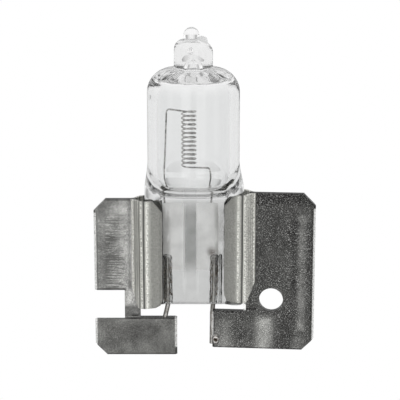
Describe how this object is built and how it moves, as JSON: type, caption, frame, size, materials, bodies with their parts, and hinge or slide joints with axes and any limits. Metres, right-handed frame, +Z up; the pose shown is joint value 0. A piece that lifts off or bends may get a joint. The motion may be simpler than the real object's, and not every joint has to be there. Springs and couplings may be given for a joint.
{
  "type": "halogen bulb",
  "caption": "Single-filament halogen bulb in a clear domed quartz tube, its flat pinch gripped by two folded sheet-metal contact blades.",
  "frame": {"origin": "on the bulb's axis, level with the lower edge of the left blade's foot", "axes": "+Z up along the bulb, +X towards the wider right blade, -Y out of the blades' front faces"},
  "size_m": [0.0293, 0.012, 0.0441],
  "materials": {
    "quartz": "clear fused quartz, polished by the flame",
    "tungsten": "drawn tungsten wire, dull grey",
    "foil": "thin molybdenum foil, satin",
    "lead_wire": "drawn molybdenum wire, browned by heat near the quartz",
    "plated_sheet": "nickel-plated sheet with a fine rolled grain",
    "plated_sheet_dark": "nickel-plated sheet with a speckled, darker face",
    "weld": "burnt weld nugget"
  },
  "bodies": {
    "root": {"quartz_envelope": "quartz", "exhaust_tip": "quartz", "filament_coil": "tungsten", "filament_long_leg": "tungsten", "filament_short_leg": "tungsten", "long_leg_sleeve": "tungsten", "short_leg_sleeve": "tungsten", "left_foil": "foil", "right_foil": "foil", "left_outer_lead": "lead_wire", "right_outer_lead": "lead_wire", "left_blade": "plated_sheet", "right_blade": "plated_sheet_dark", "right_lead_weld": "weld"}
  },
  "joints": []
}
